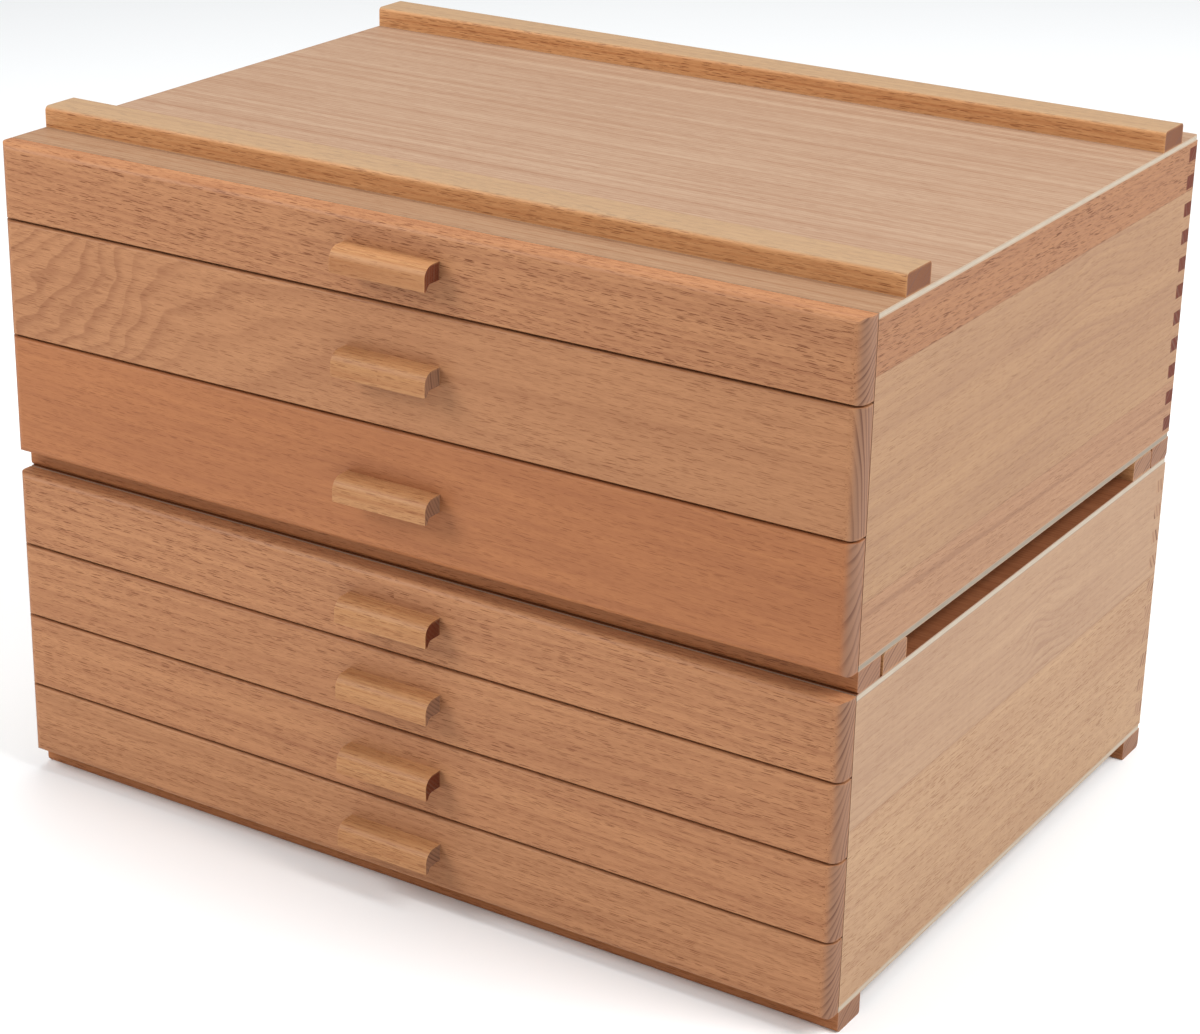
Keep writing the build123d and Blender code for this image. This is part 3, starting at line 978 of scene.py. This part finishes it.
@dataclass(frozen=True)
class Viewpoint:
    """The camera. Lengths are in metres, angles in degrees.

    Attributes:
        place: where it stands.
        turn: how far it looks to the left of straight ahead, as a negative angle.
        tilt: how far it looks down.
        roll: how far it leans.
        lens: focal length in millimetres.
        sensor: width of the sensor in millimetres.
        shift: how far the frame is shifted, as a share of its width.
    """

    place: tuple[float, float, float] = (0.6183, -0.9938, 0.5991)
    turn: float = -33.254
    tilt: float = 21.972
    roll: float = 0.65
    lens: float = 86.844
    sensor: float = 36.0
    shift: tuple[float, float] = (0.0601, -0.0143)

    def build(self) -> None:
        """Sets up the camera."""
        yaw, pitch, roll = (math.radians(angle) for angle in (self.turn, self.tilt, self.roll))
        level = math.cos(pitch)
        ahead = Vector((math.sin(yaw) * level, math.cos(yaw) * level, -math.sin(pitch)))
        right = Vector((math.cos(yaw), -math.sin(yaw), 0.0))
        up = right.cross(ahead)
        leaning_right = math.cos(roll) * right + math.sin(roll) * up
        leaning_up = math.cos(roll) * up - math.sin(roll) * right
        turned = Matrix((leaning_right, leaning_up, -ahead)).transposed()
        data = bpy.data.cameras.new("camera")
        data.lens = self.lens
        data.sensor_width = self.sensor
        data.shift_x, data.shift_y = self.shift
        camera = bpy.data.objects.new("camera", data)
        camera.matrix_world = Matrix.Translation(self.place) @ turned.to_4x4()
        bpy.context.scene.collection.objects.link(camera)
        bpy.context.scene.camera = camera


@dataclass(frozen=True)
class Softbox:
    """A large soft lamp.

    Attributes:
        name: what it is called.
        place: where it hangs, in metres.
        aim: the point that it faces.
        size: its width and height, in metres.
        power: its power, in watts.
        colour: the colour of its light.
    """

    name: str
    place: tuple[float, float, float]
    aim: tuple[float, float, float]
    size: tuple[float, float]
    power: float
    colour: Colour = (1.0, 1.0, 1.0)

    def build(self) -> None:
        """Hangs the lamp."""
        data = bpy.data.lights.new(self.name, "AREA")
        data.shape = "RECTANGLE"
        data.size, data.size_y = self.size
        data.energy = self.power
        data.color = self.colour
        lamp = bpy.data.objects.new(self.name, data)
        direction = Vector(self.aim) - Vector(self.place)
        lamp.location = self.place
        lamp.rotation_euler = direction.to_track_quat("-Z", "Y").to_euler()
        bpy.context.scene.collection.objects.link(lamp)


@dataclass(frozen=True)
class Studio:
    """A pale floor and soft light from the left, the right and above.

    Attributes:
        floor_size: length of the floor's sides, in metres.
        floor_tone: its colour.
        floor_roughness: how matt it is.
        sky: brightness of the surroundings.
        lamps: the soft lamps.
    """

    floor_size: float = 14.0
    floor_tone: Colour = (0.93, 0.945, 0.955)
    floor_roughness: float = 0.8
    sky: float = 0.44
    lamps: tuple[Softbox, ...] = (
        Softbox("key softbox", (-1.0, -1.1, 1.15), (0.0, 0.0, 0.15), (0.9, 0.9), 19.2),
        Softbox("right softbox", (1.75, 0.1, 1.95), (0.1, 0.0, 0.15), (1.2, 1.4), 51.0),
        Softbox("overhead softbox", (-0.3, 0.7, 2.2), (0.0, 0.0, 0.2), (1.6, 1.6), 18.0),
        Softbox("rear softbox", (1.7, 2.0, 0.8), (0.0, 0.0, 0.15), (1.0, 1.0), 10.0),
    )

    def build(self) -> None:
        """Lays the floor and lights the scene."""
        half = self.floor_size / 2
        mesh = bpy.data.meshes.new("studio_floor")
        corners = [(-half, -half, 0), (half, -half, 0), (half, half, 0), (-half, half, 0)]
        mesh.from_pydata(corners, [], [(0, 1, 2, 3)])
        floor = bpy.data.objects.new("studio_floor", mesh)
        bpy.context.scene.collection.objects.link(floor)
        material = bpy.data.materials.new("pale floor")
        material.use_nodes = True
        shader = material.node_tree.nodes["Principled BSDF"]
        shader.inputs["Base Color"].default_value = (*self.floor_tone, 1.0)
        shader.inputs["Roughness"].default_value = self.floor_roughness
        mesh.materials.append(material)
        world = bpy.data.worlds.new("studio")
        world.use_nodes = True
        background = world.node_tree.nodes["Background"]
        background.inputs["Color"].default_value = (1.0, 1.0, 1.0, 1.0)
        background.inputs["Strength"].default_value = self.sky
        bpy.context.scene.world = world
        for lamp in self.lamps:
            lamp.build()
        settings = bpy.context.scene.view_settings
        settings.view_transform = "Standard"
        settings.look = "None"
        settings.exposure = 0.0


PALE = Tone((0.441, 0.283, 0.168), (0.351, 0.207, 0.125), (0.165, 0.062, 0.026))
GREY = Tone((0.377, 0.224, 0.125), (0.308, 0.174, 0.103), (0.150, 0.056, 0.024))
CREAM = Tone((0.419, 0.271, 0.170), (0.333, 0.202, 0.130), (0.165, 0.065, 0.030))
BROWN = Tone((0.385, 0.218, 0.126), (0.293, 0.157, 0.093), (0.135, 0.045, 0.018))
SANDY = Tone((0.455, 0.217, 0.103), (0.330, 0.141, 0.068), (0.120, 0.030, 0.010))
GOLDEN = Tone((0.452, 0.218, 0.105), (0.327, 0.144, 0.069), (0.140, 0.040, 0.014))
ORANGE = Tone((0.414, 0.168, 0.070), (0.302, 0.113, 0.050), (0.120, 0.030, 0.010))
AMBER = Tone((0.607, 0.317, 0.140), (0.422, 0.177, 0.068), (0.130, 0.028, 0.008))
HONEY = Tone((0.475, 0.244, 0.109), (0.355, 0.148, 0.061), (0.130, 0.030, 0.009))
PINK = Tone((0.356, 0.175, 0.088), (0.273, 0.129, 0.071), (0.100, 0.027, 0.010))
VENEER = Tone((0.417, 0.283, 0.192), (0.305, 0.169, 0.101), (0.190, 0.076, 0.036))
SHADED = Tone((0.246, 0.094, 0.042), (0.167, 0.054, 0.021), (0.110, 0.036, 0.015))
# painted shade: the feet's darker, redder tone stands in for the shade under the drawer fronts
FOOT_SHADE = Tone((0.400, 0.165, 0.068), (0.290, 0.105, 0.038), (0.120, 0.030, 0.010))
RED_END = (0.090, 0.011, 0.005)
# painted sheen on the tops of the rails
TOP_SHEEN = (0.310, 0.252, 0.170)

FRONTS = {
    1: Board(SANDY, Cut(pith=(-40.0, 190.0), ring=1.9, fleck=0.85, slope=0.035, seed=1.0)),
    2: Board(GOLDEN, Cut(
        pith=(-550.0, 190.0), ring=1.8, ring_depth=0.32, fleck=0.6, slope=0.02, seed=2.0,
        figure=13.0, figure_at=(-262.0, -150.0, 250.0), figure_size=(120.0, 200.0, 120.0),
    )),
    3: Board(ORANGE, Cut(
        pith=(-60.0, 130.0), ring=3.4, ring_depth=0.2, wander=6.0, cloud=0.6, fleck=0.45,
        slope=0.03, seed=3.0,
    )),
    4: Board(SANDY, Cut(pith=(-60.0, 90.0), ring=2.0, fleck=0.8, slope=0.015, seed=4.0)),
    5: Board(SANDY, Cut(pith=(-50.0, 60.0), ring=2.2, fleck=0.75, slope=-0.01, seed=5.0)),
    6: Board(SANDY, Cut(pith=(-80.0, 20.0), ring=2.2, fleck=0.7, slope=0.02, seed=6.0)),
    7: Board(GOLDEN, Cut(pith=(-100.0, -10.0), ring=2.1, fleck=0.7, seed=7.0)),
}
RED_ENDED = (1, 4, 6)
PULLS = {
    number: Board(replace(HONEY, end=RED_END) if number in RED_ENDED else HONEY,
                  Cut(pith=(-100.0, 300.0 - 30 * number), ring=1.6, seed=50.0 + number))
    for number in FRONTS
}
UPPER_FLANK = (
    (178.6, Board(BROWN, Cut(
        pith=(120.0, 60.0), ring=2.6, fleck=0.5, slope=0.02, seed=12.0,
        stripe=(170.5, 2.2, 0.9),
    ))),
    (264.6, Board(GREY, Cut(
        pith=(140.0, 300.0), ring=3.0, band=0.8, cloud=1.0, ripple=0.35, fleck=0.42, seed=13.0,
        figure=1.7, figure_at=(60.0, 200.0, 248.0), figure_size=(38.0, 60.0, 24.0),
    ))),
    (290.0, Board(PINK, Cut(pith=(150.0, 200.0), fleck=0.95, slope=0.02, seed=14.0))),
)
LOWER_FLANK = (
    (86.6, Board(PALE, Cut(
        pith=(120.0, 0.0), ring=2.8, cloud=0.9, ripple=0.4, fleck=0.6, seed=16.0,
    ))),
    (150.0, Board(CREAM, Cut(
        pith=(160.0, 160.0), ring=3.0, cloud=0.8, ripple=0.35, fleck=0.3, seed=17.0,
        figure=2.0, figure_at=(35.0, 200.0, 111.0), figure_size=(16.0, 60.0, 18.0),
    ))),
)
FACE = Board(VENEER, Cut(
    pith=(-760.0, 40.0), ring=2.3, wander=3.0, band=0.8, cloud=0.3, fleck=0.4, seed=20.0,
))
# painted shade: the lower chest's top veneer is darkened for the shadow under the upper chest
SHADED_BED = replace(FACE, tone=SHADED)
BARS = Board(AMBER, Cut(ring=2.0, fleck=0.7, seed=21.0))


def main() -> None:
    """Builds the scene in order: frame, camera, light, lower chest, upper chest."""
    logging.basicConfig(level=logging.INFO, format="%(message)s")
    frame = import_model()
    Viewpoint().build()
    Studio().build()
    wood = Wood()
    given = {"nodes": frame["nodes"], "wood": wood, "fronts": FRONTS, "pulls": PULLS, "face": FACE,
             "bars": BARS, "foot_shade_tone": FOOT_SHADE, "top_sheen": TOP_SHEEN}
    chests = (
        Chest("lower", (4, 5, 6, 7), flank=LOWER_FLANK, bed=SHADED_BED, rail_end=Tone().end,
              finger_end=(0.365, 0.215, 0.130), **given),
        # the upper chest's bottom panel core is darkened: painted shade
        Chest("upper", (1, 2, 3), flank=UPPER_FLANK, bed=FACE, rail_end=(0.135, 0.042, 0.018),
              finger_end=(0.098, 0.008, 0.001), bottom_core_shade=0.62, **given),
    )
    for chest in chests:
        chest.build()


if __name__ == "__main__":
    main()
